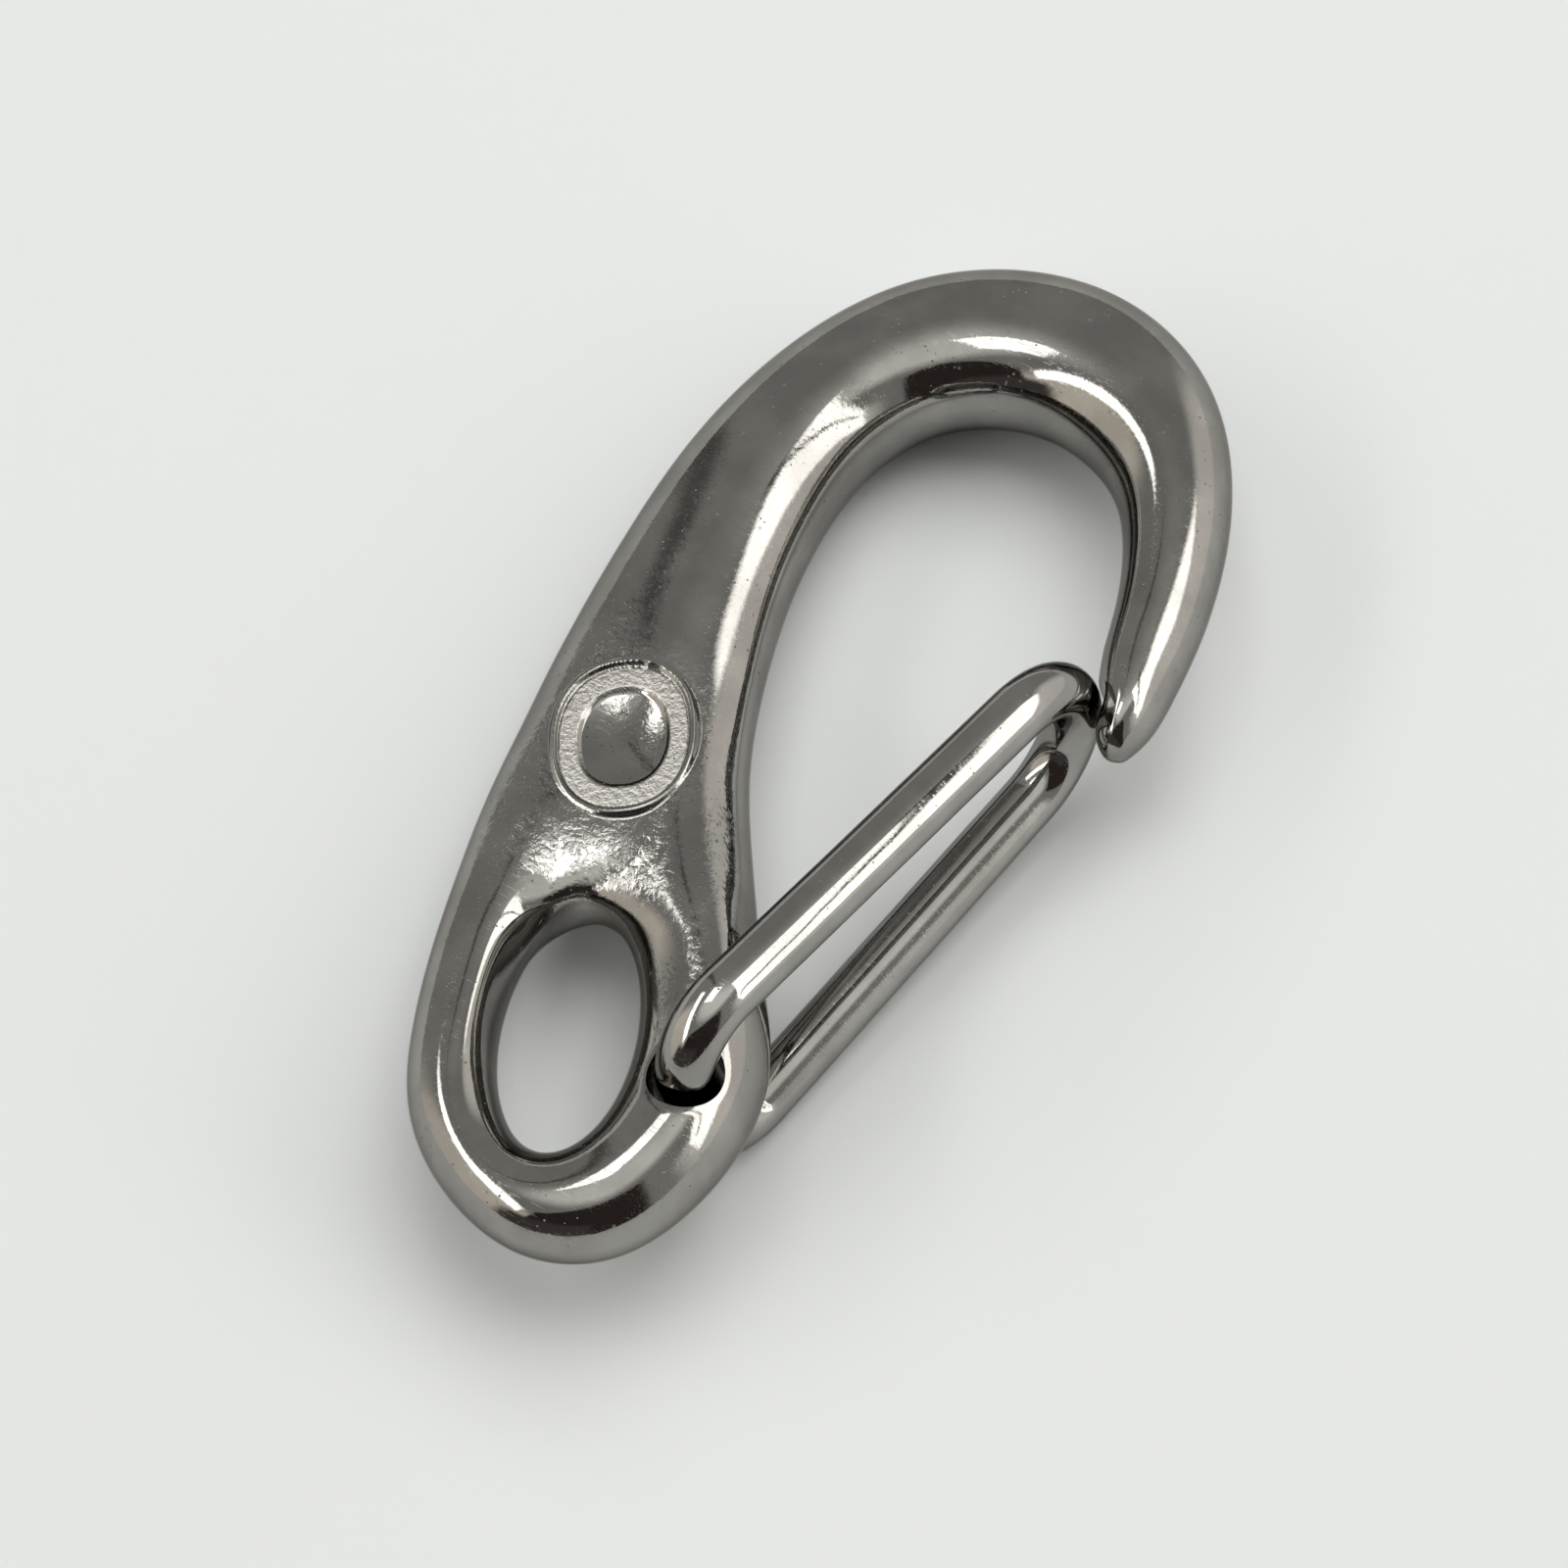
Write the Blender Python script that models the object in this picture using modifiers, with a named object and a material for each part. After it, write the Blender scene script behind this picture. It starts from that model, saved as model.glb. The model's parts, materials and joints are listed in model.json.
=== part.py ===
"""Wire-gate snap hook, a 75 mm boat fitting in polished stainless steel.

Two separate pieces: the cast body (eye, spine, hook and nose in one) and the sprung wire gate,
a bent loop whose two turned-in ends sit in the pivot bore beside the eye.

Design axes, in millimetres: the body's mid-plane is z = 0, the middle of the eye is the origin,
+Y runs from the eye to the crown of the hook, and the gate is on the +X side. ROLL, PITCH and
REST_AT lay the finished hook down as it lies on a table: on its spine and the gate's lower leg.
"""

import math

import bmesh
import bpy
import numpy as np
from mathutils import Matrix, Vector

MM = 0.001
NAME = "snap_hook"
MERGE = 1e-5

SUBDIVISIONS = 2
# Rounds and rate at which the cage is moved until the smooth surface meets the given points
FIT_ROUNDS, FIT_RATE = 40, 0.9

# Bar of the hook, nose to eye. Each row is one cross-section: its outer edge (x, y) and its inner
# edge (x, y) at mid-thickness, its half thickness, and how round (0) or lop-sided (1) it is.
BAR = (
    ((21.75, 31.5), (19.3, 30.8), 2.0, 0.0),
    ((22.15, 33.6), (18.4, 32.6), 2.75, 0.0),
    ((22.05, 37.2), (17.0, 35.9), 3.05, 0.0),
    ((21.4, 42.2), (15.8, 40.3), 3.4, 0.2),
    ((19.1, 49.6), (13.2, 45.7), 4.0, 0.5),
    ((13.55, 57.2), (9.2, 49.0), 4.5, 0.8),
    ((4.4, 60.6), (4.2, 50.0), 4.8, 1.0),
    ((-5.1, 57.75), (-0.8, 47.85), 4.8, 1.0),
    ((-11.3, 50.4), (-3.45, 42.9), 4.8, 1.0),
    ((-14.3, 40.6), (-3.75, 36.85), 4.7, 1.0),
    ((-14.7, 30.5), (-2.6, 29.9), 4.45, 1.0),
    ((-14.1, 21.6), (-0.1, 22.3), 4.2, 1.0),
)
ROUND_ACROSS = (0.0, 0.07, 0.22, 0.37, 0.50, 0.63, 0.78, 0.93, 1.0)
ROUND_HEIGHT = (0.0, 0.50, 0.82, 0.96, 1.00, 0.96, 0.82, 0.50, 0.0)
LEAN_ACROSS = (0.0, 0.06, 0.21, 0.38, 0.56, 0.72, 0.86, 0.965, 1.0)
LEAN_HEIGHT = (0.0, 0.46, 0.79, 0.945, 1.0, 0.94, 0.755, 0.43, 0.0)

# Nose: how far the dome stands out, and how its patch of points is spread over the last section
NOSE_DOME = 1.0
CAP_ACROSS, CAP_UP, CAP_REACH = 0.40, 0.42, 0.95

# Web between the bar and the eye, two sections: two rims with a shallow valley between them
WEB_OUTER, WEB_INNER = (-13.4, 16.2), (2.7, 16.9)
WEB_ACROSS = (0.0, 0.06, 0.21, 0.37, 0.52, 0.67, 0.82, 0.95, 1.0)
WEB_HEIGHT = (0.0, 2.0, 3.35, 3.6, 3.7, 3.75, 3.65, 2.1, 0.0)
VALLEY_OUTER, VALLEY_INNER = (-12.6, 11.0), (6.0, 12.0)
VALLEY_ACROSS = (0.0, 0.05, 0.19, 0.34, 0.49, 0.64, 0.80, 0.94, 1.0)
VALLEY_HEIGHT = (0.0, 2.1, 3.35, 3.6, 3.45, 3.5, 3.85, 2.5, 0.0)

# Eye: an oval hole, leaning towards the back of the body, with a rolled rim
EYE_CENTRE = (0.45, -0.8)
EYE_LONG, EYE_SHORT, EYE_LEAN = 8.0, 4.25, 23.0
RING = 14
# Outer edge of the body round the eye, from the left shoulder, under the eye, to the right shoulder,
# each with where the crest of the rim is (0 at the hole, 1 at the outer edge) and how high it is
RING_EDGE = (
    ((-11.6, 6.2), 0.30, 3.2),
    ((-10.2, 1.0), 0.30, 3.2),
    ((-8.4, -4.2), 0.34, 3.2),
    ((-5.5, -9.4), 0.42, 3.2),
    ((-0.7, -12.9), 0.50, 3.3),
    ((5.1, -14.0), 0.50, 3.5),
    ((10.1, -11.6), 0.50, 3.8),
    ((12.7, -6.7), 0.52, 4.1),
    ((13.3, -1.4), 0.54, 4.3),
    ((12.0, 3.4), 0.56, 4.3),
    ((8.8, 8.0), 0.58, 4.2),
)
EYE_TOP_CREST = 2.8
EYE_TOP_REACH, EYE_TOP_SHOULDER = 1.5, 0.3
SHOULDER_AT, SHOULDER_HEIGHT = 0.28, 0.62
FLANK_AT, FLANK_HEIGHT = 0.72, 0.70

# Gate: one length of round wire
WIRE_R = 1.8
PIVOT = (9.45, -1.12)
GATE_ANGLE = 12.5
GATE_REACH = 34.26
LEG_Z = 7.2
LEG_TAPER = 4.5
BEND_R = 4.2
PIN_FROM = 1.4
RUN_GAP = 0.3
# Points along each bend and each leg of the wire, and how finely its round section is drawn
BEND_STEPS, LEG_STEPS, WIRE_SIDES = 12, 6, 6

# Bore for the gate's two ends, with play round the wire
BORE_R = 2.35

# Cutters: half length of the round ones, half depth and number of sides of each kind
CUT_HALF, CUT_SIDES = 12.0, 48
PAD_HALF, PAD_SIDES = 1.0, 64

# Oval pad standing on the web on each side: a thin rim round a flat sunk field
PAD_CENTRE = (-5.65, 16.75)
PAD_LONG, PAD_SHORT, PAD_LEAN = 5.5, 4.6, 30.0
PAD_RIM, PAD_SUNK = 0.55, 0.35
PAD_TOP = 4.0
PAD_SLOPE_X, PAD_SLOPE_Y = 0.03, 0.045

# How the finished hook lies: rolled about Y, pitched about X, then moved so that it stands on
# z = 0 with the middle of its plan at the origin
ROLL, PITCH = 7.633, -2.401
REST_AT = (-3.677, -23.289, 7.653)


def clear_scene():
    for obj in list(bpy.data.objects):
        bpy.data.objects.remove(obj, do_unlink=True)
    for group in list(bpy.data.collections):
        bpy.data.collections.remove(group)


def collection(name, hidden=False):
    group = bpy.data.collections.new(name)
    group.hide_render = hidden
    bpy.context.scene.collection.children.link(group)
    return group


def turned(x, y, degrees):
    a = math.radians(degrees)
    return x * math.cos(a) - y * math.sin(a), x * math.sin(a) + y * math.cos(a)


def bar_section(row):
    """Nine points across the upper half of one cross-section, outer edge to inner edge."""
    (ox, oy), (ix, iy), half, lean = row
    points = []
    for k in range(9):
        t = ROUND_ACROSS[k] * (1 - lean) + LEAN_ACROSS[k] * lean
        h = ROUND_HEIGHT[k] * (1 - lean) + LEAN_HEIGHT[k] * lean
        points.append((ox + (ix - ox) * t, oy + (iy - oy) * t, half * h))
    return points


def web_section(outer, inner, across, height):
    (ox, oy), (ix, iy) = outer, inner
    return [(ox + (ix - ox) * t, oy + (iy - oy) * t, h) for t, h in zip(across, height)]


def eye_point(t, grow=0.0):
    """A point of the eye's oval at parameter t in degrees, 90 at its top, grown outwards."""
    a = math.radians(t)
    x = (EYE_SHORT + grow) * math.cos(a)
    y = (EYE_LONG + grow) * math.sin(a)
    x, y = turned(x, y, EYE_LEAN)
    return EYE_CENTRE[0] + x, EYE_CENTRE[1] + y


def ring_rows(k):
    """Points of one station of the eye's ring: hole, inner shoulder, crest, then the outer ones."""
    t = 90 + 360 / RING * 2 + 360 / RING * k
    hole = eye_point(t)
    if k > len(RING_EDGE) - 1:
        shoulder = eye_point(t, EYE_TOP_SHOULDER)
        top = eye_point(t, EYE_TOP_REACH)
        return [
            (*hole, 0.0),
            (*shoulder, SHOULDER_HEIGHT * EYE_TOP_CREST),
            (*top, EYE_TOP_CREST),
        ]
    (ex, ey), where, crest = RING_EDGE[k]

    def along(f):
        return hole[0] + (ex - hole[0]) * f, hole[1] + (ey - hole[1]) * f

    return [
        (*hole, 0.0),
        (*along(where * SHOULDER_AT), SHOULDER_HEIGHT * crest),
        (*along(where), crest),
        (*along(where + (1 - where) * FLANK_AT), FLANK_HEIGHT * crest),
        (*along(1.0), 0.0),
    ]


class Cage:
    """Quads through which a Subdivision Surface is drawn, mirrored about the mid-plane."""

    def __init__(self):
        self.points = []
        self.faces = []
        self.at = {}

    def add(self, point):
        key = tuple(round(v, 5) for v in point)
        if key not in self.at:
            self.at[key] = len(self.points)
            self.points.append(point)
        return self.at[key]

    def quad(self, a, b, c, d):
        """One quad above the mid-plane and its mirror image below."""
        self.faces.append([self.add(p) for p in (a, b, c, d)])
        under = [(p[0], p[1], -p[2] if p[2] else 0.0) for p in (d, c, b, a)]
        self.faces.append([self.add(p) for p in under])

    def single(self, a, b, c, d):
        self.faces.append([self.add(p) for p in (a, b, c, d)])


def through(points, faces):
    """Cage points moved so that the smooth surface passes through the ones given."""
    target = np.array(points)
    quads = np.array(faces)
    count = np.zeros(len(target))
    np.add.at(count, quads.ravel(), 1)
    cage = target.copy()
    for _ in range(FIT_ROUNDS):
        edge = np.zeros_like(cage)
        across = np.zeros_like(cage)
        for k in range(4):
            here = quads[:, k]
            np.add.at(edge, here, cage[quads[:, (k + 1) % 4]] + cage[quads[:, (k + 3) % 4]])
            np.add.at(across, here, cage[quads[:, (k + 2) % 4]])
        n = count[:, None]
        smooth = (n * n * cage + 2 * edge + across) / (n * (n + 5))
        cage += FIT_RATE * (target - smooth)
    return cage


def nose_cap(cage, section):
    """Closes the nose with a domed 4 x 4 patch of quads."""
    top = section
    low = [(x, y, -z if z else 0.0) for x, y, z in section]
    outer, inner = np.array(section[0]), np.array(section[8])
    middle = (outer + inner) / 2
    across = (inner - outer) / 2
    half = max(p[2] for p in section)
    ahead = np.array((across[1], -across[0], 0.0))
    ahead *= NOSE_DOME / np.linalg.norm(ahead)
    # Make the dome point away from the bar
    if np.dot(ahead[:2], np.array(BAR[1][0]) - np.array(BAR[0][0])) > 0:
        ahead = -ahead
    grid = [[None] * 5 for _ in range(5)]
    for k in range(5):
        grid[0][k] = top[2 + k]
        grid[4][k] = low[2 + k]
    left = [top[2], top[1], top[0], low[1], low[2]]
    right = [top[6], top[7], top[8], low[7], low[6]]
    for k in range(5):
        grid[k][0], grid[k][4] = left[k], right[k]
    for r in (1, 2, 3):
        for c in (1, 2, 3):
            p, q = (c - 2) * CAP_ACROSS, (2 - r) * CAP_UP
            rise = math.sqrt(max(0.0, 1 - (p / CAP_REACH) ** 2 - (q / CAP_REACH) ** 2))
            at = middle + across * p + np.array((0, 0, half * q)) + ahead * rise
            grid[r][c] = tuple(float(v) for v in at)
    for r in range(4):
        for c in range(4):
            cage.single(grid[r][c], grid[r + 1][c], grid[r + 1][c + 1], grid[r][c + 1])


def body_mesh():
    cage = Cage()
    sections = [bar_section(row) for row in BAR]
    sections.append(web_section(WEB_OUTER, WEB_INNER, WEB_ACROSS, WEB_HEIGHT))
    sections.append(web_section(VALLEY_OUTER, VALLEY_INNER, VALLEY_ACROSS, VALLEY_HEIGHT))
    rings = [ring_rows(k) for k in range(RING)]
    last = len(RING_EDGE) - 1
    left, right = rings[0], rings[last]
    tops = [rings[k][2] for k in range(RING - 1, last, -1)]
    sections.append([left[4], left[3], left[2], *tops, right[2], right[3], right[4]])
    for a, b in zip(sections, sections[1:]):
        for k in range(8):
            cage.quad(a[k], b[k], b[k + 1], a[k + 1])
    for k in range(RING):
        a, b = rings[k], rings[(k + 1) % RING]
        for r in range(4 if k < last else 2):
            cage.quad(a[r], b[r], b[r + 1], a[r + 1])
    nose_cap(cage, sections[0])
    points = through(cage.points, cage.faces)
    points[np.abs(points[:, 2]) < 1e-6, 2] = 0.0
    # Only the upper half is kept: the Mirror modifier makes the lower one
    upper = [f for f in cage.faces if min(points[i][2] for i in f) >= 0.0]
    mesh = bpy.data.meshes.new("hook_body")
    mesh.from_pydata([tuple(p * MM) for p in points], [], upper)
    work = bmesh.new()
    work.from_mesh(mesh)
    loose = [v for v in work.verts if not v.link_faces]
    bmesh.ops.delete(work, geom=loose, context="VERTS")
    bmesh.ops.recalc_face_normals(work, faces=work.faces)
    if sum(f.normal.z * f.calc_area() for f in work.faces) < 0:
        bmesh.ops.reverse_faces(work, faces=work.faces)
    work.to_mesh(mesh)
    work.free()
    return mesh


def gate_direction():
    """Direction of the closed gate's legs in the mid-plane, from the pivot to the nose."""
    a = math.radians(GATE_ANGLE)
    return Vector((math.sin(a), math.cos(a), 0.0))


def gate_path():
    """Centre line of the wire as (distance from the pivot, height), one end to the other."""
    taper = math.radians(LEG_TAPER)
    # Bend from the pin, which runs along z, to the leg, which slopes down to the tip
    turn = math.pi / 2 + taper
    start_z = LEG_Z - BEND_R
    half = [(0.0, PIN_FROM), (0.0, 0.5 * (PIN_FROM + start_z)), (0.0, start_z)]
    for k in range(1, BEND_STEPS + 1):
        a = turn * k / BEND_STEPS
        half.append((BEND_R - BEND_R * math.cos(a), start_z + BEND_R * math.sin(a)))
    s0, z0 = half[-1]
    # Round end of the loop, tangent to both legs
    reach, tan, cos = GATE_REACH, math.tan(taper), math.cos(taper)
    radius = (z0 - tan * (reach - s0)) * cos / (1 - math.sin(taper))
    centre = reach - radius
    s1, z1 = centre + radius * math.sin(taper), radius * math.cos(taper)
    for k in range(1, LEG_STEPS):
        half.append((s0 + (s1 - s0) * k / LEG_STEPS, z0 + (z1 - z0) * k / LEG_STEPS))
    for k in range(BEND_STEPS + 1):
        a = taper + (math.pi / 2 - taper) * k / BEND_STEPS
        half.append((centre + radius * math.sin(a), radius * math.cos(a)))
    return half + [(s, -z) for s, z in reversed(half[:-1])]


def gate_curve():
    """The wire, with the pivot at its origin and its legs along its own +Y."""
    curve = bpy.data.curves.new("wire_gate", "CURVE")
    curve.dimensions = "3D"
    curve.bevel_depth = WIRE_R * MM
    curve.bevel_resolution = WIRE_SIDES
    curve.use_fill_caps = True
    path = gate_path()
    spline = curve.splines.new("POLY")
    spline.points.add(len(path) - 1)
    for point, (s, z) in zip(spline.points, path):
        point.co = (0.0, s * MM, z * MM, 1.0)
    return curve


def cylinder(name, group, radius, half, place, segments):
    """A helper prism for a Boolean, its axis along the z of place (a matrix in metres)."""
    mesh = bpy.data.meshes.new(name)
    work = bmesh.new()
    bmesh.ops.create_cone(
        work, cap_ends=True, segments=segments, radius1=radius[0] * MM, radius2=radius[0] * MM,
        depth=2 * half * MM,
    )
    bmesh.ops.scale(work, vec=(1.0, radius[1] / radius[0], 1.0), verts=work.verts)
    bmesh.ops.transform(work, matrix=place, verts=work.verts)
    bmesh.ops.recalc_face_normals(work, faces=work.faces)
    work.to_mesh(mesh)
    work.free()
    obj = bpy.data.objects.new(name, mesh)
    obj.hide_render = True
    obj.display_type = "WIRE"
    group.objects.link(obj)
    return obj


def pad_place(side, above):
    """Matrix of a pad's plane: its origin is above the pad's top by so many millimetres."""
    normal = Vector((-PAD_SLOPE_X, -PAD_SLOPE_Y, 1.0)).normalized()
    normal.z *= side
    long_way = Vector((-math.sin(math.radians(PAD_LEAN)), math.cos(math.radians(PAD_LEAN)), 0.0))
    long_way = (long_way - normal * long_way.dot(normal)).normalized()
    short_way = long_way.cross(normal)
    at = Vector((*PAD_CENTRE, side * PAD_TOP)) + normal * above
    turn = Matrix((short_way, long_way, normal)).transposed().to_4x4()
    return Matrix.Translation(at * MM) @ turn


def combine(obj, operation, cutter):
    boolean = obj.modifiers.new(operation.lower() + "_" + cutter.name, "BOOLEAN")
    boolean.operation = operation
    boolean.solver = "EXACT"
    boolean.object = cutter


def steel(name, colour, roughness):
    material = bpy.data.materials.new(name)
    material.use_nodes = True
    shader = material.node_tree.nodes["Principled BSDF"]
    shader.inputs["Base Color"].default_value = (*colour, 1.0)
    shader.inputs["Metallic"].default_value = 1.0
    shader.inputs["Roughness"].default_value = roughness
    return material


def main():
    clear_scene()
    parts = collection(NAME)
    cutters = collection(NAME + "_cutters", hidden=True)

    rest = bpy.data.objects.new("rest_pose", None)
    rest.empty_display_size = 0.01
    rest.matrix_world = (
        Matrix.Translation(Vector(REST_AT) * MM)
        @ Matrix.Rotation(math.radians(PITCH), 4, "X")
        @ Matrix.Rotation(math.radians(-ROLL), 4, "Y")
    )
    parts.objects.link(rest)

    body = bpy.data.objects.new("hook_body", body_mesh())
    body.data.polygons.foreach_set("use_smooth", [True] * len(body.data.polygons))
    body.data.materials.append(steel("polished_cast_steel", (0.56, 0.55, 0.53), 0.18))
    mirror = body.modifiers.new("lower_half", "MIRROR")
    mirror.use_axis = (False, False, True)
    mirror.use_mirror_merge = True
    mirror.merge_threshold = MERGE
    smooth = body.modifiers.new("smooth", "SUBSURF")
    smooth.levels = smooth.render_levels = SUBDIVISIONS

    along = gate_direction()
    pivot = Vector((*PIVOT, 0.0))
    bore = Matrix.Translation(pivot * MM)
    seat = Matrix.Translation((pivot + along * GATE_REACH) * MM)
    helpers = []
    for side, name in ((1, "front"), (-1, "back")):
        boss = cylinder(
            "pad_boss_" + name, cutters, (PAD_SHORT, PAD_LONG), PAD_HALF,
            pad_place(side, -PAD_HALF), PAD_SIDES,
        )
        combine(body, "UNION", boss)
        field = cylinder(
            "pad_field_" + name, cutters, (PAD_SHORT - PAD_RIM, PAD_LONG - PAD_RIM), PAD_HALF,
            pad_place(side, PAD_HALF - PAD_SUNK), PAD_SIDES,
        )
        combine(body, "DIFFERENCE", field)
        helpers += [boss, field]
    for name, radius, place in (
        ("pivot_bore", BORE_R, bore),
        ("gate_seat", WIRE_R + RUN_GAP, seat),
    ):
        cutter = cylinder(name, cutters, (radius, radius), CUT_HALF, place, CUT_SIDES)
        combine(body, "DIFFERENCE", cutter)
        helpers.append(cutter)

    gate = bpy.data.objects.new("wire_gate", gate_curve())
    gate.data.materials.append(steel("polished_wire_steel", (0.58, 0.57, 0.55), 0.15))
    gate.location = pivot * MM
    gate.rotation_euler = (0.0, 0.0, -math.radians(GATE_ANGLE))

    for obj in (body, gate):
        parts.objects.link(obj)
    for obj in (body, gate, *helpers):
        obj.parent = rest


main()
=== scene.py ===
"""Looks of the wire-gate snap hook: fine meshes, worn polished steel, floor, light and camera.

Design axes, in millimetres, are those of the CAD: the body's mid-plane is z = 0, the middle of the
eye is the origin, +Y runs from the eye to the crown of the hook, and the gate is on the +X side.
The gate's joint says where the finished hook lies in the frame.
"""

import json
import math

import bmesh
import bpy
import numpy as np
from mathutils import Matrix, Vector, noise


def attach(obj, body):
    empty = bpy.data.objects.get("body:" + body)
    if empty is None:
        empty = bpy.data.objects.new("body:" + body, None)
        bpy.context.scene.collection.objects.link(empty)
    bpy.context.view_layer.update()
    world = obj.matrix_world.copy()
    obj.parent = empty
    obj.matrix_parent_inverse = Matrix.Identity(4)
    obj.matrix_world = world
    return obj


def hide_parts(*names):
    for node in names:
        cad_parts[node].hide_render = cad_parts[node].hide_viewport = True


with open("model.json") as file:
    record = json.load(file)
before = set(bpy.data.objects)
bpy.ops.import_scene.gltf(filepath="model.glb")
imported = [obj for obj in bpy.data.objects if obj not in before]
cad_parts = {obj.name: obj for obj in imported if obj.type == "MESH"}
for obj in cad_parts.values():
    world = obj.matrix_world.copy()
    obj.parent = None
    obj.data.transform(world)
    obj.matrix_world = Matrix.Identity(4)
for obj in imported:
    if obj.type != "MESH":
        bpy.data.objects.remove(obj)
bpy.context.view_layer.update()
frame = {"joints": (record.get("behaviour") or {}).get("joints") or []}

MM = 0.001

# Bar of the hook, nose to eye. Each row is one cross-section: its outer edge (x, y) and its inner
# edge (x, y) at mid-thickness, its half thickness, and how round (0) or lop-sided (1) it is.
BAR = (
    ((21.75, 31.5), (19.3, 30.8), 2.0, 0.0),
    ((22.15, 33.6), (18.4, 32.6), 2.75, 0.0),
    ((22.05, 37.2), (17.0, 35.9), 3.05, 0.0),
    ((21.4, 42.2), (15.8, 40.3), 3.4, 0.2),
    ((19.1, 49.6), (13.2, 45.7), 4.0, 0.5),
    ((13.55, 57.2), (9.2, 49.0), 4.5, 0.8),
    ((4.4, 60.6), (4.2, 50.0), 4.8, 1.0),
    ((-5.1, 57.75), (-0.8, 47.85), 4.8, 1.0),
    ((-11.3, 50.4), (-3.45, 42.9), 4.8, 1.0),
    ((-14.3, 40.6), (-3.75, 36.85), 4.7, 1.0),
    ((-14.7, 30.5), (-2.6, 29.9), 4.45, 1.0),
    ((-14.1, 21.6), (-0.1, 22.3), 4.2, 1.0),
)
# Upper half of a round and of a lop-sided section: share of the way across, and of its half thickness
ROUND_ACROSS = (0.0, 0.07, 0.22, 0.37, 0.50, 0.63, 0.78, 0.93, 1.0)
ROUND_HEIGHT = (0.0, 0.50, 0.82, 0.96, 1.00, 0.96, 0.82, 0.50, 0.0)
LEAN_ACROSS = (0.0, 0.06, 0.21, 0.38, 0.56, 0.72, 0.86, 0.965, 1.0)
LEAN_HEIGHT = (0.0, 0.46, 0.79, 0.945, 1.0, 0.94, 0.755, 0.43, 0.0)

# Nose: how far the dome stands out, and how its patch of points is spread over the last section
NOSE_DOME = 1.0
CAP_ACROSS, CAP_UP, CAP_REACH = 0.40, 0.42, 0.95

# Web between the bar and the eye, two sections: two rims with a shallow valley between them
WEB_OUTER, WEB_INNER = (-13.4, 16.2), (2.7, 16.9)
WEB_ACROSS = (0.0, 0.06, 0.21, 0.37, 0.52, 0.67, 0.82, 0.95, 1.0)
WEB_HEIGHT = (0.0, 2.0, 3.35, 3.6, 3.7, 3.75, 3.65, 2.1, 0.0)
VALLEY_OUTER, VALLEY_INNER = (-12.6, 11.0), (6.0, 12.0)
VALLEY_ACROSS = (0.0, 0.05, 0.19, 0.34, 0.49, 0.64, 0.80, 0.94, 1.0)
VALLEY_HEIGHT = (0.0, 2.1, 3.35, 3.6, 3.45, 3.5, 3.85, 2.5, 0.0)

# Eye: an oval hole, leaning towards the back of the body, with a rolled rim
EYE_CENTRE = (0.45, -0.8)
EYE_LONG, EYE_SHORT, EYE_LEAN = 8.0, 4.25, 23.0
RING = 14
# Outer edge of the body round the eye, each point with where the crest of the rim is (0 at the
# hole, 1 at the outer edge) and how high it is
RING_EDGE = (
    ((-11.6, 6.2), 0.30, 3.2),
    ((-10.2, 1.0), 0.30, 3.2),
    ((-8.4, -4.2), 0.34, 3.2),
    ((-5.5, -9.4), 0.42, 3.2),
    ((-0.7, -12.9), 0.50, 3.3),
    ((5.1, -14.0), 0.50, 3.5),
    ((10.1, -11.6), 0.50, 3.8),
    ((12.7, -6.7), 0.52, 4.1),
    ((13.3, -1.4), 0.54, 4.3),
    ((12.0, 3.4), 0.56, 4.3),
    ((8.8, 8.0), 0.58, 4.2),
)
# Top of the rim, where the ring meets the web: height of its crest, and how far the crest and the
# shoulder stand from the hole
EYE_TOP_CREST = 2.8
EYE_TOP_REACH, EYE_TOP_SHOULDER = 1.5, 0.3
# Shoulder and flank on either side of the crest: share of the way across, and of the crest's height
SHOULDER_AT, SHOULDER_HEIGHT = 0.28, 0.62
FLANK_AT, FLANK_HEIGHT = 0.72, 0.70
# Levels of the Subdivision Surface
SUBDIVISIONS = 4
# Rounds and rate at which the cage is moved until the smooth surface meets the given points
FIT_ROUNDS, FIT_RATE = 40, 0.9

# Gate: one length of round wire. Its radius, its pivot, which way it lies when closed (degrees from
# +Y to +X) and how far the line of its round end is from the pivot
WIRE_R = 1.8
PIVOT = (9.45, -1.12)
GATE_ANGLE = 12.5
GATE_REACH = 34.26
# How far its legs start from the mid-plane, how they close in (degrees), radius of the bends at the
# pivot, and how far from the mid-plane its pins begin
LEG_Z, LEG_TAPER, BEND_R, PIN_FROM = 7.2, 4.5, 4.2, 1.4
# Gap between the gate and its seat, and radius of the pivot bore
RUN_GAP, BORE_R = 0.3, 2.35
# Steps along each bend and each leg of the wire, and how finely its round section is drawn
WIRE_STEPS, WIRE_SIDES = 48, 14
# Cutter for the bore: half its length and its number of sides
CUT_HALF, CUT_SIDES = 12.0, 96
# Angle over which an edge stays sharp, in degrees
SHARP_FROM = 38

# Oval pad standing on the web on each side: half its length and width, lean (degrees), how square
# its outline is (2 is an ellipse), width of its rim, depth of its field, and the tilt of its top
PAD_CENTRE = (-5.65, 16.75)
PAD_LONG, PAD_SHORT, PAD_LEAN = 5.5, 4.6, 30.0
PAD_SQUARE = 2.25
PAD_RIM, PAD_SUNK = 0.55, 0.35
PAD_TOP = 4.0
PAD_SLOPE_X, PAD_SLOPE_Y = 0.03, 0.045
# How sharply the rim rolls over outside the pad, how rounded it is, how it blends with the body, and
# how far inside the outline its top begins
RIM_DROP, RIM_ROUND, RIM_BLEND, RIM_IN = 1.1, 0.006, 0.16, 0.10
# Plain oval dish in the pad's field: its share of the pad's outline, edge step and depth
MARK, MARK_STEP, MARK_DEEP = 0.62, 0.16, 0.50
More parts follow.
